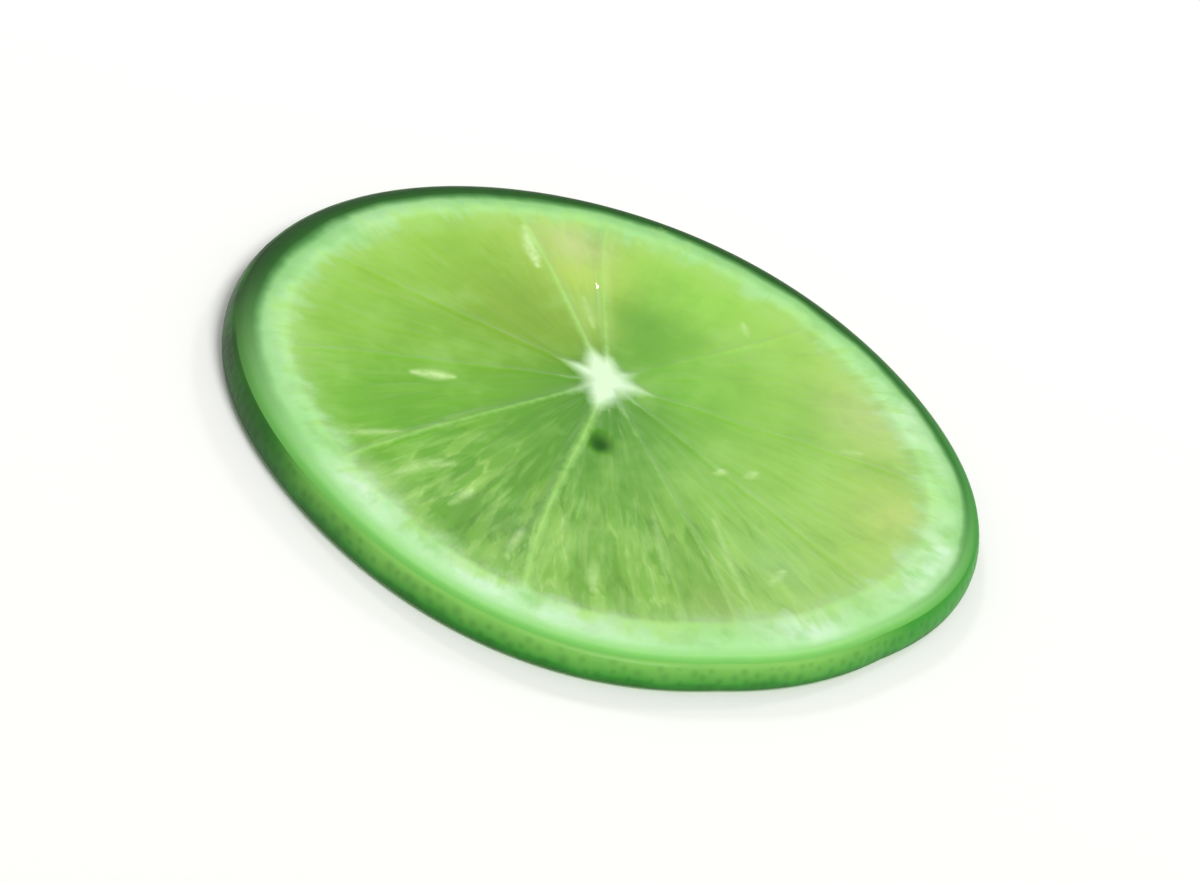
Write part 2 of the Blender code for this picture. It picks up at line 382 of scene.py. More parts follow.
def juice_field(x, y, segment, across, share_out):
    """The juice's own colour at each point, as linear red, green and blue."""
    at_core = np.array([linear(pair[0])[:3] for pair in JUICE_COLOURS])
    at_pith = np.array([linear(pair[1])[:3] for pair in JUICE_COLOURS])
    at_core = blend_over_membranes(at_core, segment, across)
    at_pith = blend_over_membranes(at_pith, segment, across)
    colour = at_core + (at_pith - at_core) * (share_out ** 1.5)[:, None]
    for patch_x, patch_y, radius, hex_colour, amount in PATCHES:
        share = amount * np.exp(-((x - patch_x) ** 2 + (y - patch_y) ** 2) / radius ** 2)
        colour += (np.array(linear(hex_colour)[:3]) - colour) * share[:, None]
    return colour


def place_sacs(segment, random):
    """Middle, direction, half length and half width of the sacs that fill one segment."""
    start, end = membranes[segment], membranes[segment + 1]
    middle = (start + end) / 2
    longest = reach(np.array([start, middle, end]), lower_outline).max() - RIND_WIDTH
    directions = random.uniform(start, end, SAC_TRIES)
    distances = longest * np.sqrt(random.uniform(0, 1, SAC_TRIES))
    sizes = random.uniform(*SAC_SIZES, SAC_TRIES)
    sacs = np.empty((0, 5))
    for direction, distance, size in zip(directions, distances, sizes):
        if distance < STAR_RADIUS:
            continue
        x = CORE[0] + distance * math.cos(direction)
        y = CORE[1] + distance * math.sin(direction)
        axis = direction - SAC_LEAN * (direction - middle) / (end - middle)
        slim = SLIM_AT_CORE + WIDER_FARTHER_OUT * min(distance / FULL_WIDTH_FROM, 1)
        length, width = SAC_LENGTH * size / 2, SAC_WIDTH * size * slim / 2
        along = (x - sacs[:, 0]) * np.cos(sacs[:, 2]) + (y - sacs[:, 1]) * np.sin(sacs[:, 2])
        aside = (y - sacs[:, 1]) * np.cos(sacs[:, 2]) - (x - sacs[:, 0]) * np.sin(sacs[:, 2])
        away = np.hypot(along / (sacs[:, 3] + length), aside / (sacs[:, 4] + width))
        if (away > CLOSEST_SACS).all():
            sacs = np.vstack([sacs, (x, y, axis, length, width)])
    return sacs


def sac_fields(x, y, segment, random):
    """For each point: millimetres from its sac's wall, that sac's own tone, and how far it swells."""
    wall_gap, tone, swell = np.zeros_like(x), np.zeros_like(x), np.zeros_like(x)
    for number in range(SEGMENTS):
        sacs = place_sacs(number, random)
        tones = random.uniform(0, 1, len(sacs))
        opened = random.uniform(0, 1, len(sacs)) < OPENED_SHARE
        opened_rises = random.uniform(*OPENED_RISE, len(sacs))
        shut_rises = random.uniform(*SHUT_RISE, len(sacs))
        rises = np.where(opened, opened_rises, shut_rises)
        here = np.flatnonzero(segment == number)
        dx = x[here, None] - sacs[None, :, 0]
        dy = y[here, None] - sacs[None, :, 1]
        cosine, sine = np.cos(sacs[:, 2]), np.sin(sacs[:, 2])
        along = (dx * cosine + dy * sine) / sacs[:, 3]
        widening = np.clip(1 + SAC_TAPER * along, 0.5, 1.4)
        away = np.hypot(along, (dy * cosine - dx * sine) / (sacs[:, 4] * widening))
        order = np.argsort(away, axis=1)
        nearest = order[:, 0]
        first = np.take_along_axis(away, order[:, :1], 1)[:, 0]
        second = np.take_along_axis(away, order[:, 1:2], 1)[:, 0]
        wall_gap[here] = (second - first) * sacs[nearest, 4]
        tone[here] = tones[nearest]
        swell[here] = rises[nearest] * np.sqrt(np.clip(wall_gap[here] / SAC_SHOULDER, 0, 1))
    return wall_gap, tone, swell


SAC_SKIN_COLOUR = linear("#BEE682")
NEAR_PITH_COLOUR = linear("#B2DE8C")
PALE_STREAK_COLOUR = linear("#BCE684")
DARK_STREAK_COLOUR = linear("#5A9420")
DRAINED_AND_GLINT_COLOUR = linear("#D2F2A6")
DEEP_JUICE_COLOUR = linear("#5C9C1C")
PALE_JUICE_COLOUR = linear("#B0E078")
PALE_SAC_COLOUR = linear("#A8D866")
CLOUD_SCALE = 0.22 / MM
STREAK_WIDTH = 0.55
STREAK_LENGTH = 4.0
MIDWAY_OUT = 14
BROAD_STREAK_SCALE = (12.0, 12.0, 0.16)

wall_gap = add_node("ShaderNodeAttribute", out="Fac", attribute_name="wall_gap")
sac_tone = add_node("ShaderNodeAttribute", out="Fac", attribute_name="sac_tone")
bare = add_node("ShaderNodeAttribute", out="Fac", attribute_name="bare")
fan = add_node("ShaderNodeAttribute", out="Vector", attribute_name="fan")
juice = add_node("ShaderNodeAttribute", out="Color", attribute_name="juice")
drained_and_glint = add_node("ShaderNodeAttribute", out="Fac", attribute_name="drained_and_glint")

# Deeper and paler clouds under the surface, then each sac's own tone.
clouds = add_node(
    "ShaderNodeTexNoise", {"Vector": place, "Scale": CLOUD_SCALE, "Detail": 3.0, "Roughness": 0.55}
)
deep_share = add_node("ShaderNodeMapRange", {0: clouds, 1: 0.50, 2: 0.25, 3: 0.0, 4: 0.30})
juice = add_node("ShaderNodeMix", {0: deep_share, 6: juice, 7: DEEP_JUICE_COLOUR}, 2, data_type="RGBA")
pale_share = add_node("ShaderNodeMapRange", {0: clouds, 1: 0.50, 2: 0.75, 3: 0.0, 4: 0.35})
juice = add_node("ShaderNodeMix", {0: pale_share, 6: juice, 7: PALE_JUICE_COLOUR}, 2, data_type="RGBA")
tone_share = add_node("ShaderNodeMapRange", {0: sac_tone, 1: 0.4, 2: 1.0, 3: 0.0, 4: 0.55})
tone_share = add_node("ShaderNodeMath", {0: tone_share, 1: bare}, operation="MULTIPLY")
juice = add_node("ShaderNodeMix", {0: tone_share, 6: juice, 7: PALE_SAC_COLOUR}, 2, data_type="RGBA")

# Fine streaks fan out with the sacs: noise over a turn round the core and the way out from it.
streak_scale = (MIDWAY_OUT / STREAK_WIDTH, MIDWAY_OUT / STREAK_WIDTH, 1 / STREAK_LENGTH)
streak_place = add_node("ShaderNodeMapping", {0: fan, 3: streak_scale})
streaks = add_node(
    "ShaderNodeTexNoise", {"Vector": streak_place, "Scale": 1.0, "Detail": 3.0, "Roughness": 0.55}
)
broad_place = add_node("ShaderNodeMapping", {0: fan, 3: BROAD_STREAK_SCALE})
broad = add_node("ShaderNodeTexNoise", {"Vector": broad_place, "Scale": 1.0, "Detail": 2.0})
streak_share = add_node("ShaderNodeMapRange", {0: streaks, 1: 0.48, 2: 0.74, 3: 0.0, 4: 0.60})
streak_share = add_node("ShaderNodeMath", {0: streak_share, 1: bare}, operation="MULTIPLY")
juice = add_node("ShaderNodeMix", {0: streak_share, 6: juice, 7: PALE_STREAK_COLOUR}, 2, data_type="RGBA")
dark_share = add_node("ShaderNodeMapRange", {0: broad, 1: 0.48, 2: 0.28, 3: 0.0, 4: 0.6})
dark_share = add_node("ShaderNodeMath", {0: dark_share, 1: bare}, operation="MULTIPLY")
juice = add_node("ShaderNodeMix", {0: dark_share, 6: juice, 7: DARK_STREAK_COLOUR}, 2, data_type="RGBA")
sac_skin = add_node("ShaderNodeMapRange", {0: wall_gap, 1: 0.20, 2: 0.02, 3: 0.0, 4: 0.60})
sac_skin = add_node("ShaderNodeMath", {0: sac_skin, 1: bare}, operation="MULTIPLY")
pale_skin = add_node("ShaderNodeMapRange", {0: broad, 1: 0.50, 2: 0.64})
pale_skin = add_node("ShaderNodeMath", {0: sac_skin, 1: pale_skin}, operation="MULTIPLY")
juice = add_node("ShaderNodeMix", {0: pale_skin, 6: juice, 7: SAC_SKIN_COLOUR}, 2, data_type="RGBA")
dark_gap = add_node("ShaderNodeMapRange", {0: broad, 1: 0.50, 2: 0.36})
dark_gap = add_node("ShaderNodeMath", {0: sac_skin, 1: dark_gap}, operation="MULTIPLY")
juice = add_node("ShaderNodeMix", {0: dark_gap, 6: juice, 7: DARK_STREAK_COLOUR}, 2, data_type="RGBA")
# Pale marks of sacs that lost their juice, a few of them painted glints.
broken = add_node("ShaderNodeMapRange", {0: sponge, 1: 0.35, 2: 0.60, 3: 0.5, 4: 1.0})
drained_and_glint = add_node("ShaderNodeMath", {0: drained_and_glint, 1: broken}, operation="MULTIPLY")
juice = add_node("ShaderNodeMix", {0: drained_and_glint, 6: juice, 7: DRAINED_AND_GLINT_COLOUR}, 2, data_type="RGBA")
haze = add_node("ShaderNodeMapRange", {0: past_rind, 1: 2.5, 2: 0.0, 3: 0.0, 4: 0.35})
juice = add_node("ShaderNodeMix", {0: haze, 6: juice, 7: NEAR_PITH_COLOUR}, 2, data_type="RGBA")


# --- A hollow in the pulp ------------------------------------------------------------------------
# Beside one membrane a few sacs came away with the knife and left a small open hollow. Little light
# comes back out of it, so it looks dark green.
HOLLOW_MEMBRANE = 5
HOLLOW_OUT = 7.1
HOLLOW_ASIDE = 0.95
HOLLOW_HALF_LENGTH = 1.15
HOLLOW_HALF_WIDTH = 0.95
HOLLOW_DEPTH = 0.28
HOLLOW_SHADE_COLOUR = linear("#1F5A08")
HOLLOW_EDGE = (0.2, 1.5)


def hollow_field(x, y):
    """1 in the middle of the hollow, falling to 0 outside it."""
    direction = membranes[HOLLOW_MEMBRANE]
    dx = x - CORE[0] - HOLLOW_OUT * math.cos(direction) + HOLLOW_ASIDE * math.sin(direction)
    dy = y - CORE[1] - HOLLOW_OUT * math.sin(direction) - HOLLOW_ASIDE * math.cos(direction)
    along = dx * math.cos(direction) + dy * math.sin(direction)
    aside = dy * math.cos(direction) - dx * math.sin(direction)
    return 1 - smooth_step(np.hypot(along / HOLLOW_HALF_LENGTH, aside / HOLLOW_HALF_WIDTH), *HOLLOW_EDGE)


hollow = add_node("ShaderNodeAttribute", out="Fac", attribute_name="hollow")
# Painted shade: the hollow is coloured a dark green.
juice = add_node("ShaderNodeMix", {0: hollow, 6: juice, 7: HOLLOW_SHADE_COLOUR}, 2, data_type="RGBA")


# --- Juice on the cut ----------------------------------------------------------------------------
# Freshly cut flesh lets light in and out again a millimetre or so away, which rounds off the colours,
# and a film of juice lies over the sacs. The pith soaks juice up, so it is only damp. Frayed ends of
# sacs and pith run into each other, so no border is sharp.
FRAY_SCALE = (18.0, 18.0, 0.3)
BUMP_HEIGHT = 0.12 * MM

frayed = add_node("ShaderNodeMapRange", {0: sponge, 3: -0.25, 4: 0.25})
frayed_pulp = add_node("ShaderNodeMath", {0: into_pulp, 1: frayed}, operation="ADD")
softness = add_node("ShaderNodeMapRange", {0: near_star, 3: 0.34, 4: 0.60})
frayed_pulp = add_node("ShaderNodeMath", {0: frayed_pulp, 1: softness}, operation="DIVIDE")
pulp_share = add_node("ShaderNodeMapRange", {0: frayed_pulp, 1: -1.0, 2: 1.0})
cut_colour = add_node("ShaderNodeMix", {0: pulp_share, 6: wall_colour, 7: juice}, 2, data_type="RGBA")
inner_pith = add_node("ShaderNodeMapRange", {0: past_rind, 1: -2.4, 2: -0.6})
fray_place = add_node("ShaderNodeMapping", {0: fan, 3: FRAY_SCALE})
fray = add_node("ShaderNodeTexNoise", {"Vector": fray_place, "Scale": 1.0, "Detail": 3.0, "Roughness": 0.6})
threads = add_node("ShaderNodeMapRange", {0: fray, 1: 0.50, 2: 0.66, 3: 0.0, 4: 0.55})
threads = add_node("ShaderNodeMath", {0: threads, 1: in_pith}, operation="MULTIPLY")
threads = add_node("ShaderNodeMath", {0: threads, 1: inner_pith}, operation="MULTIPLY")
rind_colour = add_node(
    "ShaderNodeMix", {0: threads, 6: rind_colour, 7: SOAKED_PITH_COLOUR}, 2, data_type="RGBA"
)
frayed_far = add_node("ShaderNodeMath", {0: fray, 1: 3.6, 2: -1.8}, operation="MULTIPLY_ADD")
frayed_rind = add_node("ShaderNodeMath", {0: past_rind, 1: frayed_far}, operation="ADD")
uneven_border = add_node("ShaderNodeMath", {0: patches, 1: 5.0, 2: -2.5}, operation="MULTIPLY_ADD")
frayed_rind = add_node("ShaderNodeMath", {0: frayed_rind, 1: uneven_border}, operation="ADD")
rind_share = add_node("ShaderNodeMapRange", {0: frayed_rind, 1: 0.9, 2: -1.1})
cut_colour = add_node("ShaderNodeMix", {0: rind_share, 6: cut_colour, 7: rind_colour}, 2, data_type="RGBA")

flesh_shader = flesh_tree.nodes["Principled BSDF"]
flesh_tree.links.new(cut_colour, flesh_shader.inputs["Base Color"])
wetness = add_node("ShaderNodeMapRange", {0: into_pulp, 1: -0.2, 2: 0.2, 3: 0.0, 4: 1.0})
out_of_hollow = add_node("ShaderNodeMapRange", {0: hollow, 1: 0.0, 2: 0.15, 3: 1.0, 4: 0.0})
wetness = add_node("ShaderNodeMath", {0: wetness, 1: out_of_hollow}, operation="MULTIPLY")
flesh_tree.links.new(wetness, flesh_shader.inputs["Coat Weight"])
roughness = add_node("ShaderNodeMapRange", {0: into_pulp, 1: -0.2, 2: 0.2, 3: 0.6, 4: 0.35})
roughness = add_node("ShaderNodeMix", {0: out_of_hollow, 2: 0.8, 3: roughness})
flesh_tree.links.new(roughness, flesh_shader.inputs["Roughness"])
grain = add_node("ShaderNodeMix", {0: pulp_share, 2: sponge, 3: streaks})
relief = add_node("ShaderNodeMapRange", {0: bare, 3: 0.1, 4: 0.5})
flesh_bump = add_node("ShaderNodeBump", {"Height": grain, "Strength": relief, "Distance": BUMP_HEIGHT})
flesh_tree.links.new(flesh_bump, flesh_shader.inputs["Normal"])
flesh_shader.inputs["Subsurface Weight"].default_value = 1.0
flesh_shader.inputs["Subsurface Radius"].default_value = (0.6, 1.0, 0.25)
flesh_shader.inputs["Subsurface Scale"].default_value = 0.8 * MM
flesh_shader.inputs["IOR"].default_value = 1.36
flesh_shader.inputs["Specular IOR Level"].default_value = 0.4
flesh_shader.inputs["Coat Roughness"].default_value = 0.05
flesh_shader.inputs["Coat IOR"].default_value = 1.4


# --- The two cut faces ---------------------------------------------------------------------------
# The same segments and core show on both faces, a few millimetres apart, with other sacs cut. Each
# face is rings out from the core: evenly through the pulp, further apart in the plain pith, close
# again in the skin, whose edge the knife left a little round.
RING_SPACING = 0.24
PITH_RING_SPACING = 0.42
SKIN_RING_SPACING = 0.22
CUT_EDGE_ROUND = 0.20
EDGE_ROUND_WIDTH = 0.45
KNIFE_WAVE = 0.03
KNIFE_WAVE_TURN = (0.31, 0.22)
CORE_COLUMNS_PART = 32
RIM_SAMPLES = 64
PULP_EDGE = -0.1
SAC_EDGE = (0.05, 0.6)
# The dark skin ring is painted wider towards the left, as painted shade.
USUAL_WIDENING = 1.05
WIDENING_SWING = 0.30
WIDEST_SHADED_SKIN = math.radians(165)
LIT_SUNNY_FADE = (-0.3, 0.92)
LIT_GREEN_FADE = (-0.6, 0.8)
POINT_FIELDS = (
    "rind_depth", "past_rind", "into_pulp", "wall_gap", "sac_tone", "hollow", "from_core", "dry_pith",
    "lit_sunny_side", "bare", "drained_and_glint", "pitted", "lit_green_side",
)
FIELDS = ("x", "y", "z", "red", "green", "blue") + POINT_FIELDS


def shaded_skin_widening(x, y):
    """How many times its usual width the skin ring's colour is stretched in this direction: widest towards
    the left, as painted shade.
    """
    return USUAL_WIDENING + WIDENING_SWING * np.cos(np.arctan2(y, x) - WIDEST_SHADED_SKIN)


def lit_sunny_side_field(x, y):
    """1 on the near side, which faces the light, 0 on the far side; it mixes painted light with painted
    shade, partly for the fruit's sun side.
    """
    return smooth_step(np.cos(np.arctan2(y, x) - LIT_SUNNY_SIDE), *LIT_SUNNY_FADE)


def lit_green_side_field(x, y):
    """1 towards the near right, which faces the light, where the skin is painted a bright green as painted
    light; 0 where it is dark.
    """
    return smooth_step(np.cos(np.arctan2(y, x) - LIT_GREEN_SIDE), *LIT_GREEN_FADE)


def cut_face(outline, height, upward, coarseness, seed):
    """A face's fields, ring after ring from the core outwards, and the number of columns in each."""
    random = np.random.default_rng(seed)
    finest = FINEST_COLUMNS // coarseness
    mean_reach = reach(np.linspace(0, 2 * math.pi, RIM_SAMPLES), outline).mean()
    pulp_reach = mean_reach - RIND_WIDTH
    rings = []
    pulp_rings = round(pulp_reach / RING_SPACING / coarseness)
    for step in range(1, pulp_rings + 1):
        share = step / pulp_rings
        columns = finest // 2
        while columns > finest / CORE_COLUMNS_PART and share < columns / finest:
            columns //= 2
        rings.append((columns, share, 0, 0))
    pith_rings = round((RIND_WIDTH - SKIN_WIDTH) / PITH_RING_SPACING / coarseness)
    for step in range(1, pith_rings + 1):
        rings.append((finest // 2, 1, step / pith_rings, 0))
    skin_rings = round(SKIN_WIDTH / SKIN_RING_SPACING / coarseness)
    for step in range(1, skin_rings + 1):
        rings.append((finest, 1, 1, step / skin_rings))
    made = []
    for columns, pulp, pith, skin in rings:
        depth = RIND_WIDTH * (1 - pith) + SKIN_WIDTH * (pith - skin)
        share_out = min(pulp * pulp_reach, mean_reach - depth) / mean_reach
        directions, units = column_directions(columns, share_out)
        rim = reach(directions, outline)
        rind = rind_width(directions)
        distance = pulp * (rim - rind) + pith * (rind - SKIN_WIDTH) + skin * SKIN_WIDTH
        segment = np.clip(np.searchsorted(unit_bounds, units, side="right") - 1, 0, SEGMENTS - 1)
        across = (units - unit_bounds[segment]) / (unit_bounds[segment + 1] - unit_bounds[segment])
        made.append({
            "x": CORE[0] + distance * np.cos(directions),
            "y": CORE[1] + distance * np.sin(directions),
            "rind_depth": rim - distance,
            "past_rind": rim - distance - rind,
            "from_core": distance,
            "segment": segment,
            "across": across,
            "share_out": np.minimum(distance / (rim - rind), 1),
            "into_pulp": pulp_depth_field(segment, across, distance, rim - distance - rind),
        })
    face = {name: np.concatenate([ring[name] for ring in made]) for name in made[0]}
    x, y, segment = face["x"], face["y"], face["segment"]
    face["wall_gap"], face["sac_tone"], swell = sac_fields(x, y, segment, random)
    face["hollow"] = hollow_field(x, y) if upward > 0 else np.zeros_like(x)
    face["dry_pith"] = dry_pith_field(x, y)
    face["lit_sunny_side"] = lit_sunny_side_field(x, y)
    face["bare"] = 1 - blend_over_membranes(JUICE_COVER, segment, face["across"])
    face["bare"] *= BARE_AT_CORE + (1 - BARE_AT_CORE) * smooth_step(face["share_out"], *BARE_FADE)
    colour = juice_field(x, y, segment, face["across"], face["share_out"])
    face["red"], face["green"], face["blue"] = colour.T
    face["drained_and_glint"] = drained_and_glint_field(x, y)
    face["pitted"] = np.zeros_like(x)
    face["lit_green_side"] = lit_green_side_field(x, y)
    sunk = smooth_step(face["into_pulp"], PULP_EDGE, PULP_SLOPE) * PULP_SUNK
    sunk -= smooth_step(face["into_pulp"], *SAC_EDGE) * SAC_RISE * swell * (0.4 + 0.6 * face["bare"])
    sunk += HOLLOW_DEPTH * face["hollow"]
    sunk += CUT_EDGE_ROUND * (1 - smooth_step(face["rind_depth"], 0, EDGE_ROUND_WIDTH))
    sunk += KNIFE_WAVE * (1 + np.sin(x * KNIFE_WAVE_TURN[0] + y * KNIFE_WAVE_TURN[1])) / 2
    face["z"] = height - upward * sunk
    # Painted shade: the dark skin ring is stretched wider towards the left.
    face["rind_depth"] = face["rind_depth"] / shaded_skin_widening(x, y)
    return face, [len(ring["x"]) for ring in made]


# --- The outside of the peel ---------------------------------------------------------------------
# The fruit's own skin, dark green under a thin coat of wax, with a pit over each oil gland, about a
# millimetre apart. It leans and swells as the fruit did. The top of the wall is painted a lighter
# green, a painted glow for light that comes in through the cut, most of all on the near side, which
# faces the light. The pits and the foot of the wall are painted darker, as painted shade.
WALL_RINGS = 18
PAST_THE_CUT = 0.01
GLAND_SPACING = 0.95
PIT_DEPTH = 0.035
PIT_RADIUS = 0.32
PIT_FREE_EDGE = 0.55
PIT_TRIES = 9000
CLOSEST_PITS = 0.70
PIT_SIZES = (0.7, 1.25)
PAST_THE_WALL = 0.3
MOTTLE_SCALE = 0.35 / MM
PORE_SCALE = 3.0 / MM
PORE_DEPTH = 0.05 * MM
# A painted glow: the top of the wall is painted lighter, most of all on the near side.
UNEVEN_PAINTED_GLOW = 0.8 * MM
PAINTED_GLOW_HEIGHTS = (0.5 * MM, 2.1 * MM)
# Painted shade: the foot of the wall and the pits are painted a darker green.
SHADED_FOOT = (0.9 * MM, 0.1 * MM)
SKIN_COLOURS = ((0.30, "#0C3804"), (0.72, "#246610"), (0.50, "#164E08"))
PAINTED_GLOW_COLOUR = linear("#86C45C")
LIT_WALL_GREEN = linear("#2F9024")
PAINTED_SHADE_GREEN = linear("#154509")


def peel_wall(seed):
    """The wall's fields, ring after ring downwards between the two cut faces."""
    random = np.random.default_rng(seed)
    directions, _ = column_directions(FINEST_COLUMNS, 1)
    rim = reach(directions, upper_outline)
    around = np.arctan2(CORE[1] + rim * np.sin(directions), CORE[0] + rim * np.cos(directions))
    girth = 2 * math.pi * middle_outline(around).mean()
    pits = np.empty((0, 2))
    for _ in range(PIT_TRIES):
        pit_along = random.uniform(0, girth)
        pit = np.array([pit_along, random.uniform(LOWER_CUT - PAST_THE_WALL, UPPER_CUT + PAST_THE_WALL)])
        gap = np.abs(pits[:, 0] - pit[0])
        apart = np.hypot(np.minimum(gap, girth - gap), pits[:, 1] - pit[1])
        if (apart > GLAND_SPACING * CLOSEST_PITS).all():
            pits = np.vstack([pits, pit])
    radii = PIT_RADIUS * random.uniform(*PIT_SIZES, len(pits))
    along = around % (2 * math.pi) / (2 * math.pi) * girth
    gap = np.abs(along[:, None] - pits[None, :, 0])
    gap = np.minimum(gap, girth - gap)
    made = []
    for step in range(1, WALL_RINGS):
        height = UPPER_CUT - CUT_EDGE_ROUND - (THICKNESS - 2 * CUT_EDGE_ROUND) * step / WALL_RINGS
        share = (height - LOWER_CUT) / THICKNESS
        out = lower_outline(around) * (1 - share) * (1 - 2 * share)
        out += middle_outline(around) * 4 * share * (1 - share)
        out += upper_outline(around) * share * (2 * share - 1)
        pitted = np.exp(-(np.hypot(gap, height - pits[None, :, 1]) / radii) ** 2).max(axis=1)
        pitted *= smooth_step(min(height - LOWER_CUT, UPPER_CUT - height), CUT_EDGE_ROUND, PIT_FREE_EDGE)
        out -= PIT_DEPTH * pitted
        ring = {name: np.zeros_like(out) for name in FIELDS}
        ring["x"] = out * np.cos(around)
        ring["y"] = out * np.sin(around)
        ring["z"] = np.full_like(out, height)
        ring["rind_depth"] = np.full_like(out, -PAST_THE_CUT)
        ring["lit_sunny_side"] = lit_sunny_side_field(ring["x"], ring["y"])
        ring["pitted"] = pitted
        ring["lit_green_side"] = lit_green_side_field(ring["x"], ring["y"])
        made.append(ring)
    joined = {name: np.concatenate([ring[name] for ring in made]) for name in FIELDS}
    return joined, [FINEST_COLUMNS] * len(made)


waxy_peel = bpy.data.materials.new("waxy_lime_peel")
waxy_peel.use_nodes = True
peel = waxy_peel.node_tree
peel_shader = peel.nodes["Principled BSDF"]
pitted = add_node("ShaderNodeAttribute", out="Fac", tree=peel, attribute_name="pitted")
peel_lit_side = add_node("ShaderNodeAttribute", out="Fac", tree=peel, attribute_name="lit_sunny_side")
peel_place = add_node("ShaderNodeTexCoord", out="Object", tree=peel)
mottle = add_node(
    "ShaderNodeTexNoise", {"Vector": peel_place, "Scale": MOTTLE_SCALE, "Detail": 4.0}, tree=peel
)
skin = add_node("ShaderNodeValToRGB", {0: mottle}, stops=SKIN_COLOURS, tree=peel)
# Painted light: the wall turns a bright green towards the near right.
lit_green_side = add_node("ShaderNodeAttribute", out="Fac", tree=peel, attribute_name="lit_green_side")
skin = add_node("ShaderNodeMix", {0: lit_green_side, 6: skin, 7: LIT_WALL_GREEN}, 2, tree=peel, data_type="RGBA")
# Painted glow: a lighter green towards the top of the wall, most on the near side, which faces the light.
height = add_node("ShaderNodeSeparateXYZ", {0: peel_place}, out="Z", tree=peel)
uneven = add_node(
    "ShaderNodeMath", {0: mottle, 1: UNEVEN_PAINTED_GLOW, 2: -UNEVEN_PAINTED_GLOW / 2}, tree=peel, operation="MULTIPLY_ADD"
)
height = add_node("ShaderNodeMath", {0: height, 1: uneven}, tree=peel, operation="ADD")
painted_glow = add_node(
    "ShaderNodeMapRange", {0: height, 1: PAINTED_GLOW_HEIGHTS[0], 2: PAINTED_GLOW_HEIGHTS[1], 3: -0.15, 4: 1.0}, tree=peel
)
peel_lit_share = add_node("ShaderNodeMapRange", {0: peel_lit_side, 1: 0.75, 2: 1.0, 3: 0.05, 4: 1.0}, tree=peel)
painted_glow = add_node("ShaderNodeMath", {0: painted_glow, 1: peel_lit_share}, tree=peel, operation="MULTIPLY")
skin = add_node("ShaderNodeMix", {0: painted_glow, 6: skin, 7: PAINTED_GLOW_COLOUR}, 2, tree=peel, data_type="RGBA")
# Painted shade at the foot of the wall, where it stands on the card, and in the pits.
low = add_node("ShaderNodeMapRange", {0: height, 1: SHADED_FOOT[0], 2: SHADED_FOOT[1], 3: 0.0, 4: 0.7}, tree=peel)
skin = add_node("ShaderNodeMix", {0: low, 6: skin, 7: PAINTED_SHADE_GREEN}, 2, tree=peel, data_type="RGBA")
pit_shade_share = add_node("ShaderNodeMapRange", {0: pitted, 1: 0.2, 2: 1.0, 3: 0.0, 4: 0.22}, tree=peel)
skin = add_node("ShaderNodeMix", {0: pit_shade_share, 6: skin, 7: PAINTED_SHADE_GREEN}, 2, tree=peel, data_type="RGBA")
peel.links.new(skin, peel_shader.inputs["Base Color"])
pores = add_node("ShaderNodeTexNoise", {"Vector": peel_place, "Scale": PORE_SCALE, "Detail": 2.0}, tree=peel)
peel_bump = add_node("ShaderNodeBump", {"Height": pores, "Strength": 0.25, "Distance": PORE_DEPTH}, tree=peel)
peel.links.new(peel_bump, peel_shader.inputs["Normal"])
peel_shader.inputs["Subsurface Weight"].default_value = 0.35
peel_shader.inputs["Subsurface Radius"].default_value = (0.5, 1.0, 0.2)
peel_shader.inputs["Subsurface Scale"].default_value = 0.7 * MM
peel_shader.inputs["Roughness"].default_value = 0.5
peel_shader.inputs["IOR"].default_value = 1.4
peel_shader.inputs["Specular IOR Level"].default_value = 0.35
peel_shader.inputs["Coat Weight"].default_value = 0.08
peel_shader.inputs["Coat Roughness"].default_value = 0.15


# --- The slice in one piece ----------------------------------------------------------------------
# The upper face, the wall and the lower face are one closed skin: rings joined in order, from the
# core of one face over the rim to the core of the other.
upper, upper_columns = cut_face(upper_outline, UPPER_CUT, upward=1, coarseness=1, seed=11)
wall, wall_columns = peel_wall(seed=23)
lower, lower_columns = cut_face(lower_outline, LOWER_CUT, upward=-1, coarseness=2, seed=31)
lower_starts = np.concatenate([[0], np.cumsum(lower_columns)])
inwards = [np.arange(*lower_starts[ring:ring + 2]) for ring in reversed(range(len(lower_columns)))]
inwards = np.concatenate(inwards)
columns = upper_columns + wall_columns + lower_columns[::-1]
starts = np.concatenate([[1], 1 + np.cumsum(columns)])
fields = {}
for name in FIELDS:
    values = np.concatenate([upper[name], wall[name], lower[name][inwards]])
    fields[name] = np.concatenate([[values[:columns[0]].mean()], values, [values[-columns[-1]:].mean()]])


def join_rings(first, first_columns, second, second_columns):
    """Faces between two rings that have as many columns, or of which one has twice as many."""
    joined = []
    fewer = min(first_columns, second_columns)
    for i in range(fewer):
        j = (i + 1) % fewer
        if first_columns == second_columns:
            joined.append((first + i, second + i, second + j, first + j))
        elif second_columns > first_columns:
            between = second + 2 * i + 1
            joined.append((first + i, second + 2 * i, between))
            joined.append((first + i, between, first + j))
            joined.append((first + j, between, second + 2 * j))
        else:
            between = first + 2 * i + 1
            joined.append((second + i, between, first + 2 * i))
            joined.append((second + i, second + j, between))
            joined.append((second + j, first + 2 * j, between))
    return joined


faces = [(0, 1 + i, 1 + (i + 1) % columns[0]) for i in range(columns[0])]
lower_side_starts = None
for ring in range(len(columns) - 1):
    if ring == len(upper_columns) + len(wall_columns) - 1:
        lower_side_starts = len(faces)
    faces += join_rings(int(starts[ring]), columns[ring], int(starts[ring + 1]), columns[ring + 1])
last_ring, last_point = int(starts[-2]), int(starts[-1])
faces += [(last_point, last_ring + (i + 1) % columns[-1], last_ring + i) for i in range(columns[-1])]

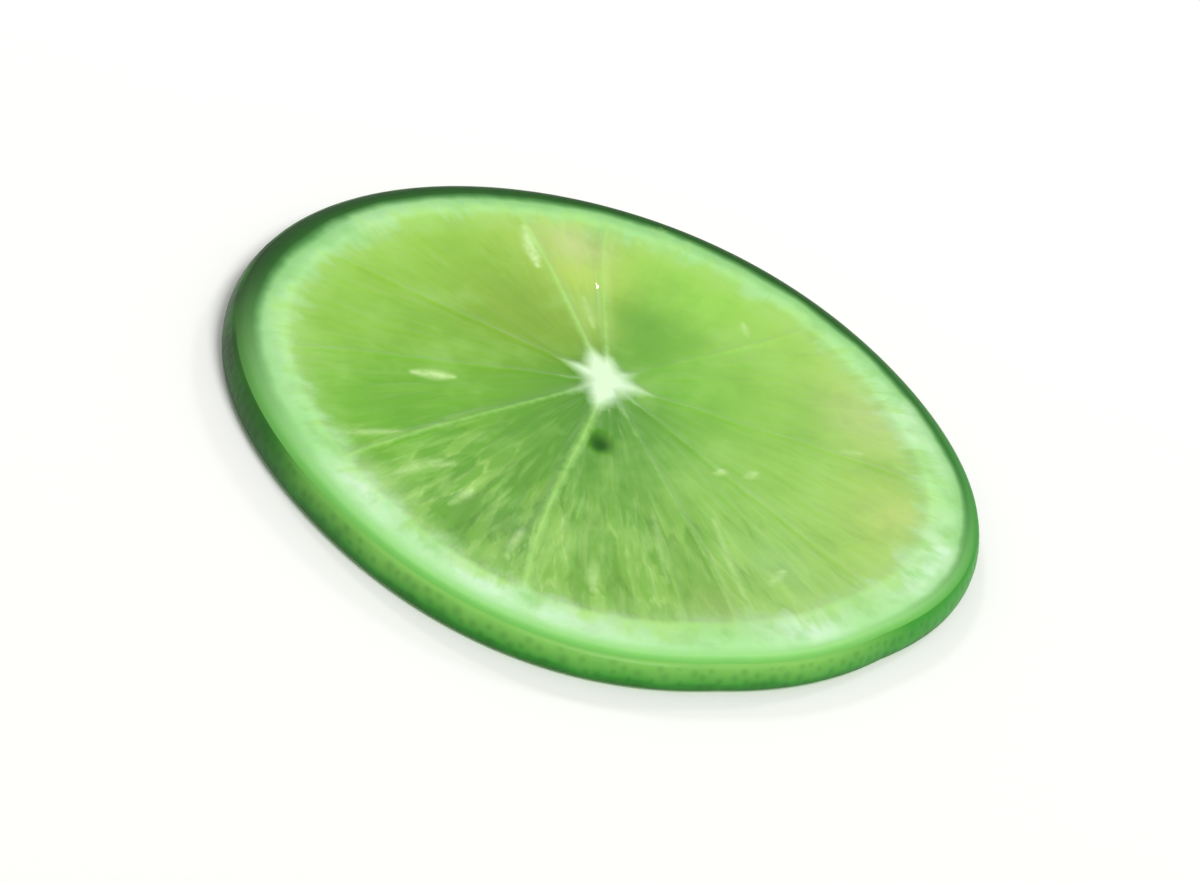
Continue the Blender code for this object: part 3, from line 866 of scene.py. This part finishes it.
fresh_mesh = bpy.data.meshes.new("fresh_slice")
points = np.stack([fields["x"], fields["y"], fields["z"]], axis=1)
fresh_mesh.from_pydata((points * MM).tolist(), [], faces)
for name in POINT_FIELDS:
    attribute = fresh_mesh.attributes.new(name, "FLOAT", "POINT")
    attribute.data.foreach_set("value", fields[name].astype(np.float32))
turn = np.arctan2(fields["y"] - CORE[1], fields["x"] - CORE[0])
fan_values = np.stack([np.cos(turn), np.sin(turn), fields["from_core"]], axis=1)
fan_attribute = fresh_mesh.attributes.new("fan", "FLOAT_VECTOR", "POINT")
fan_attribute.data.foreach_set("vector", fan_values.astype(np.float32).ravel())
colours = np.stack([fields["red"], fields["green"], fields["blue"], np.ones_like(turn)], axis=1)
juice_attribute = fresh_mesh.attributes.new("juice", "FLOAT_COLOR", "POINT")
juice_attribute.data.foreach_set("color", colours.astype(np.float32).ravel())
fresh_mesh.materials.append(wet_flesh)
fresh_mesh.materials.append(waxy_peel)
on_wall = fields["rind_depth"] < -PAST_THE_CUT / 2
face_materials = [int(any(on_wall[corner] for corner in face)) for face in faces]
fresh_mesh.polygons.foreach_set("material_index", face_materials)
fresh_mesh.shade_smooth()

# The flat pattern for baking: the upper face with the wall laid out round it, and beside it, smaller,
# the lower face, corner to corner in the unit square.
LOWER_PATTERN_SCALE = 0.6
PATTERN_MARGIN = 0.6
out_from_middle = np.hypot(points[:, 0], points[:, 1])
below_upper = np.where(points[:, 2] < UPPER_CUT - 2 * CUT_EDGE_ROUND, UPPER_CUT - points[:, 2], 0)
upper_rim = upper_outline(np.arctan2(points[:, 1], points[:, 0]))
spread = np.where(on_wall, upper_rim + below_upper, out_from_middle)
upper_pattern = points[:, :2] * (spread / np.maximum(out_from_middle, 1e-6))[:, None]
lower_pattern = points[:, :2] * LOWER_PATTERN_SCALE
upper_radius = spread[on_wall].max() + PATTERN_MARGIN
lower_radius = out_from_middle.max() * LOWER_PATTERN_SCALE + PATTERN_MARGIN
side = (upper_radius + lower_radius) * (1 + math.sqrt(0.5))
upper_pattern = (upper_pattern + upper_radius) / side
lower_pattern = 1 - (lower_pattern + lower_radius) / side
corner_points = np.array([corner for face in faces for corner in face])
corner_counts = np.array([len(face) for face in faces])
on_lower_side = np.repeat(np.arange(len(faces)) >= lower_side_starts, corner_counts)
pattern = np.where(on_lower_side[:, None], lower_pattern[corner_points], upper_pattern[corner_points])
fresh_mesh.uv_layers.new(name="OFBake").data.foreach_set("uv", pattern.astype(np.float32).ravel())
fresh_mesh.update()

fresh_slice = bpy.data.objects.new("fresh_slice", fresh_mesh)
bpy.context.scene.collection.objects.link(fresh_slice)

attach(fresh_slice, "root")
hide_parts("lime_slice")


# --- Studio --------------------------------------------------------------------------------------
# A sheet of white card runs out past where any camera sees its edge. A broad even light stands over
# the near right, two small lamps put glints on the juice, and a pale room lights the rest. Past the
# card's edge the room looks as white as the card does.
CARD_REACH = 3.0
CARD_SIDES = 96
CARD_COLOUR = linear("#F6F6F3")
card_turns = [2 * math.pi * side / CARD_SIDES for side in range(CARD_SIDES)]
card_corners = [(CARD_REACH * math.cos(turn), CARD_REACH * math.sin(turn), 0) for turn in card_turns]
card_mesh = bpy.data.meshes.new("white_card")
card_mesh.from_pydata(card_corners, [], [tuple(range(CARD_SIDES))])
card = bpy.data.objects.new("white_card", card_mesh)
bpy.context.scene.collection.objects.link(card)
matt_card = bpy.data.materials.new("matt_white_card")
matt_card.use_nodes = True
matt_card.node_tree.nodes["Principled BSDF"].inputs["Base Color"].default_value = CARD_COLOUR
matt_card.node_tree.nodes["Principled BSDF"].inputs["Roughness"].default_value = 0.9
card_mesh.materials.append(matt_card)

ROOM_LIGHT = 0.46
ROOM_SEEN = linear("#F1F2EF")
room = bpy.data.worlds.new("pale_room")
room.use_nodes = True
seen = add_node("ShaderNodeLightPath", out="Is Camera Ray", tree=room.node_tree)
lighting = (ROOM_LIGHT, ROOM_LIGHT, ROOM_LIGHT, 1.0)
room_colour = add_node(
    "ShaderNodeMix", {0: seen, 6: lighting, 7: ROOM_SEEN}, 2, tree=room.node_tree, data_type="RGBA"
)
room.node_tree.links.new(room_colour, room.node_tree.nodes["Background"].inputs["Color"])
bpy.context.scene.world = room

SOFT_LIGHT_SPREAD = math.radians(27)
SOFT_LIGHT_STRENGTH = 1.9
SOFT_LIGHT_FROM = Vector((0.30, -0.30, 0.60))
soft_light_data = bpy.data.lights.new("soft_light", "SUN")
soft_light_data.angle = SOFT_LIGHT_SPREAD
soft_light_data.energy = SOFT_LIGHT_STRENGTH
soft_light = bpy.data.objects.new("soft_light", soft_light_data)
soft_light.rotation_euler = (-SOFT_LIGHT_FROM).to_track_quat("-Z", "Y").to_euler()
bpy.context.scene.collection.objects.link(soft_light)


def add_lamp(name, place, size, watts):
    """A square lamp that faces the slice."""
    lamp_data = bpy.data.lights.new(name, "AREA")
    lamp_data.size = size
    lamp_data.energy = watts
    lamp = bpy.data.objects.new(name, lamp_data)
    lamp.location = place
    lamp.rotation_euler = (-Vector(place)).to_track_quat("-Z", "Y").to_euler()
    bpy.context.scene.collection.objects.link(lamp)


GLINT_LAMP_SIZE = 0.10
add_lamp("glint_lamp_left", place=(-0.35, 0.55, 0.50), size=GLINT_LAMP_SIZE, watts=0.9)
add_lamp("glint_lamp_right", place=(0.30, 0.60, 0.42), size=GLINT_LAMP_SIZE, watts=0.8)

# The camera looks down on the slice from the side where the hollow is, with its horizon leaning.
LOOK_DOWN = math.radians(34)
LEAN = math.radians(20.9)
LENS = 135
SENSOR = 36
SLICE_SHARE = 0.66
camera_data = bpy.data.cameras.new("camera")
camera_data.lens = LENS
camera_data.sensor_width = SENSOR
camera_data.clip_start = 0.01
camera_data.clip_end = 10.0
camera = bpy.data.objects.new("camera", camera_data)
slice_width = cad_box[1].x - cad_box[0].x
back = Vector((0, -math.cos(LOOK_DOWN), math.sin(LOOK_DOWN)))
camera.location = back * slice_width / SLICE_SHARE * LENS / SENSOR
facing = (-back).to_track_quat("-Z", "Y").to_matrix()
camera.rotation_euler = (facing @ Matrix.Rotation(LEAN, 3, "Z")).to_euler()
bpy.context.scene.collection.objects.link(camera)
bpy.context.scene.camera = camera
bpy.context.scene.view_settings.view_transform = "Standard"
